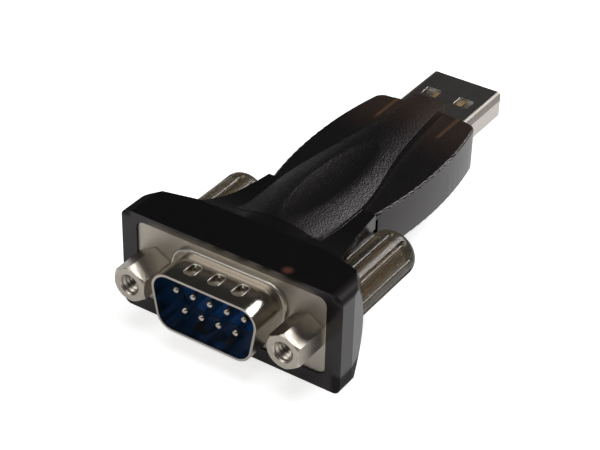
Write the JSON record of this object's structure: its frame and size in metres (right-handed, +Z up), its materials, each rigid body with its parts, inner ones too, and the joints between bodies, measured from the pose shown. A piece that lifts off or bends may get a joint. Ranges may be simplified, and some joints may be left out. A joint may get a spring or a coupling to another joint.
{
  "type": "usb to serial adapter",
  "caption": "Adapter with a USB plug at one end and a D-shaped serial plug at the other, in a smoky split housing with thumbscrews.",
  "frame": {"origin": "centre of the bounding box, on its lowest plane", "axes": "+Y from the serial plug to the USB plug, +Z up, +X to the right seen from the serial plug"},
  "size_m": [0.036, 0.0702, 0.0159],
  "materials": {
    "housing": "smoky black, glossy hood and finely grained top",
    "nickel": "pressed sheet, dull nickel plate",
    "blue_insulator": "moulded, satin",
    "pin": "polished nickel plate",
    "usb_steel": "rolled sheet, bright",
    "usb_insulator": "moulded, satin",
    "contact": "gold flash",
    "board": "green solder mask",
    "chip": "moulded, matt",
    "can": "drawn metal can",
    "capacitor": "ceramic",
    "screw": "turned, nickel plate",
    "grip": "clear smoky, glossy",
    "nut": "turned hexagon, bright nickel plate"
  },
  "bodies": {
    "adapter": {"housing_top": "housing", "housing_bottom": "housing", "dsub_front_shell": "nickel", "dsub_rear_shell": "nickel", "dsub_insulator_front": "blue_insulator", "dsub_insulator_rear": "blue_insulator", "usb_shell": "usb_steel", "usb_insulator": "usb_insulator", "circuit_board": "board", "usb_bridge_chip": "chip", "level_shifter_chip": "chip", "crystal": "can", "pin_1": "pin", "pin_2": "pin", "pin_3": "pin", "pin_4": "pin", "pin_5": "pin", "pin_6": "pin", "pin_7": "pin", "pin_8": "pin", "pin_9": "pin", "usb_contact_1": "contact", "usb_contact_2": "contact", "usb_contact_3": "contact", "usb_contact_4": "contact", "capacitor_1": "capacitor", "capacitor_2": "capacitor", "capacitor_3": "capacitor", "capacitor_4": "capacitor", "capacitor_5": "capacitor"},
    "screw_left": {"thumbscrew_left": "screw", "knob_grip_left": "grip", "jack_nut_left": "nut"},
    "screw_right": {"thumbscrew_right": "screw", "knob_grip_right": "grip", "jack_nut_right": "nut"}
  },
  "joints": [
    {"name": "screw_left_turn", "type": "hinge", "parent": "adapter", "child": "screw_left", "pos_m": [-0.01249, 0, 0.00847], "axis": [0, 1, 0], "continuous": true},
    {"name": "screw_right_turn", "type": "hinge", "parent": "adapter", "child": "screw_right", "pos_m": [0.01249, 0, 0.00847], "axis": [0, 1, 0], "continuous": true}
  ]
}
